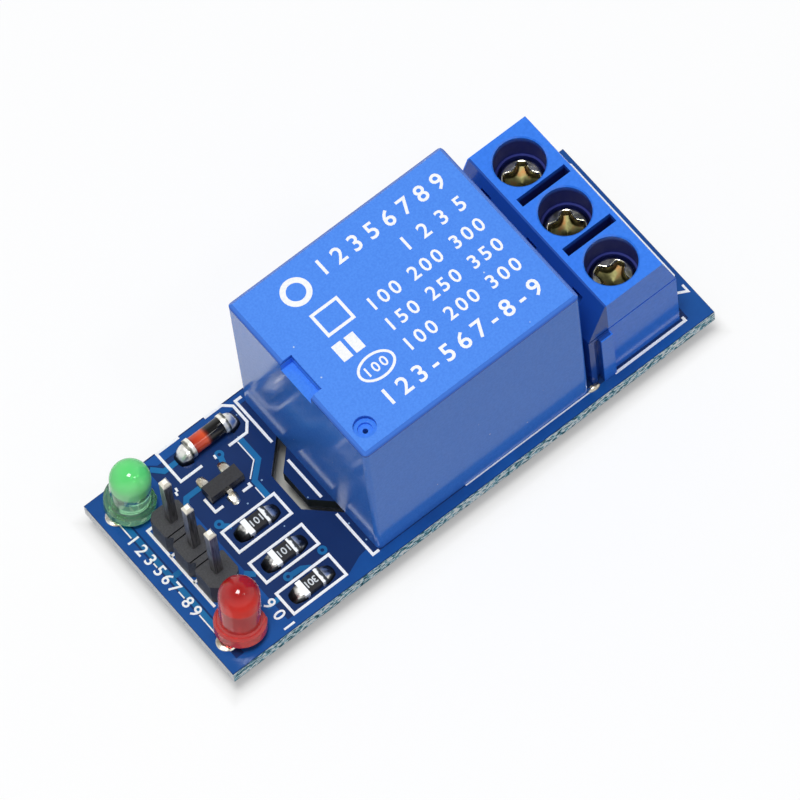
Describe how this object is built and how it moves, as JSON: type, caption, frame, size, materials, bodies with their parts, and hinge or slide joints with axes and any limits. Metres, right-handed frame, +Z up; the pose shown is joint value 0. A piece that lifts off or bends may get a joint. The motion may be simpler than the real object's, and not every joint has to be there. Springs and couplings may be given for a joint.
{
  "type": "relay module board",
  "caption": "Narrow blue circuit board carrying a sealed relay, a screw terminal block, a pin header, indicator lamps and small driver parts.",
  "frame": {"origin": "under the middle of the board, in the plane of the trimmed pin ends", "axes": "+X along the board from the header end to the screw-terminal end, +Y across it, +Z up from the pin ends to the relay's top"},
  "size_m": [0.0434, 0.017, 0.0182],
  "materials": {
    "board": "glossy blue solder mask over glass-fibre laminate",
    "solder": "bright solder",
    "relay_blue": "satin moulded blue, glossy sides",
    "relay_base": "moulded, matt",
    "bobbin": "glass-filled, matt",
    "copper_wire": "enamelled wire",
    "iron": "nickel-plated soft iron",
    "contact_brass": "stamped, bright",
    "contact_silver": "silver alloy",
    "terminal_blue": "moulded polyamide, satin",
    "screw_metal": "nickel-plated, yellowed",
    "tinned": "tin plate",
    "header_black": "moulded, matt",
    "header_tin": "tin plated",
    "red_epoxy": "tinted clear epoxy",
    "green_epoxy": "tinted clear epoxy",
    "chip_black": "moulded epoxy or resistor glaze",
    "diode_glass": "glass sleeve"
  },
  "bodies": {
    "module": {"circuit_board": "board", "solder_joints": "solder", "surface_solder": "solder", "relay_cover": "relay_blue", "relay_base": "relay_base", "coil_bobbin": "bobbin", "coil_winding": "copper_wire", "coil_core": "iron", "relay_yoke": "iron", "coil_pin_1": "tinned", "coil_pin_2": "tinned", "common_strip": "contact_brass", "closed_contact_strip": "contact_brass", "open_contact_strip": "contact_brass", "terminal_housing": "terminal_blue", "terminal_pin_1": "tinned", "terminal_pin_2": "tinned", "terminal_pin_3": "tinned", "header_housing": "header_black", "header_pin_1": "header_tin", "header_pin_2": "header_tin", "header_pin_3": "header_tin", "red_lamp": "red_epoxy", "red_lamp_anode": "tinned", "red_lamp_cathode": "tinned", "green_lamp": "green_epoxy", "green_lamp_anode": "tinned", "green_lamp_cathode": "tinned", "resistor_1": "chip_black", "resistor_2": "chip_black", "resistor_3": "chip_black", "resistor_ends": "tinned", "transistor_body": "chip_black", "transistor_legs": "tinned", "diode_glass": "diode_glass", "diode_caps": "tinned"},
    "armature": {"armature": "iron", "contact_spring": "contact_brass", "moving_contact": "contact_silver"},
    "screw_1": {"terminal_screw_1": "screw_metal"},
    "cage_1": {"terminal_cage_1": "tinned"},
    "screw_2": {"terminal_screw_2": "screw_metal"},
    "cage_2": {"terminal_cage_2": "tinned"},
    "screw_3": {"terminal_screw_3": "screw_metal"},
    "cage_3": {"terminal_cage_3": "tinned"}
  },
  "joints": [
    {"name": "armature_swing", "type": "hinge", "parent": "module", "child": "armature", "pos_m": [-0.00528, 0.0001, 0.01488], "axis": [0, 1, 0], "range_deg": [0, 3.5], "stiffness_Nm_per_rad": 0.004, "springref_deg": -14.32},
    {"name": "screw_1_turn", "type": "hinge", "parent": "module", "child": "screw_1", "pos_m": [0.01585, -0.00483, 0.009], "axis": [0, 0, -1], "range_deg": [0, 1080]},
    {"name": "cage_1_rise", "type": "slide", "parent": "module", "child": "cage_1", "axis": [0, 0, 1], "range_m": [0, 0.0015]},
    {"name": "screw_2_turn", "type": "hinge", "parent": "module", "child": "screw_2", "pos_m": [0.01585, 0.00025, 0.009], "axis": [0, 0, -1], "range_deg": [0, 1080]},
    {"name": "cage_2_rise", "type": "slide", "parent": "module", "child": "cage_2", "axis": [0, 0, 1], "range_m": [0, 0.0015]},
    {"name": "screw_3_turn", "type": "hinge", "parent": "module", "child": "screw_3", "pos_m": [0.01585, 0.00533, 0.009], "axis": [0, 0, -1], "range_deg": [0, 1080]},
    {"name": "cage_3_rise", "type": "slide", "parent": "module", "child": "cage_3", "axis": [0, 0, 1], "range_m": [0, 0.0015]}
  ],
  "couplings": [
    {"joint": "screw_1_turn", "follows": "cage_1_rise", "rad_per_m": 12566},
    {"joint": "screw_2_turn", "follows": "cage_2_rise", "rad_per_m": 12566},
    {"joint": "screw_3_turn", "follows": "cage_3_rise", "rad_per_m": 12566}
  ]
}
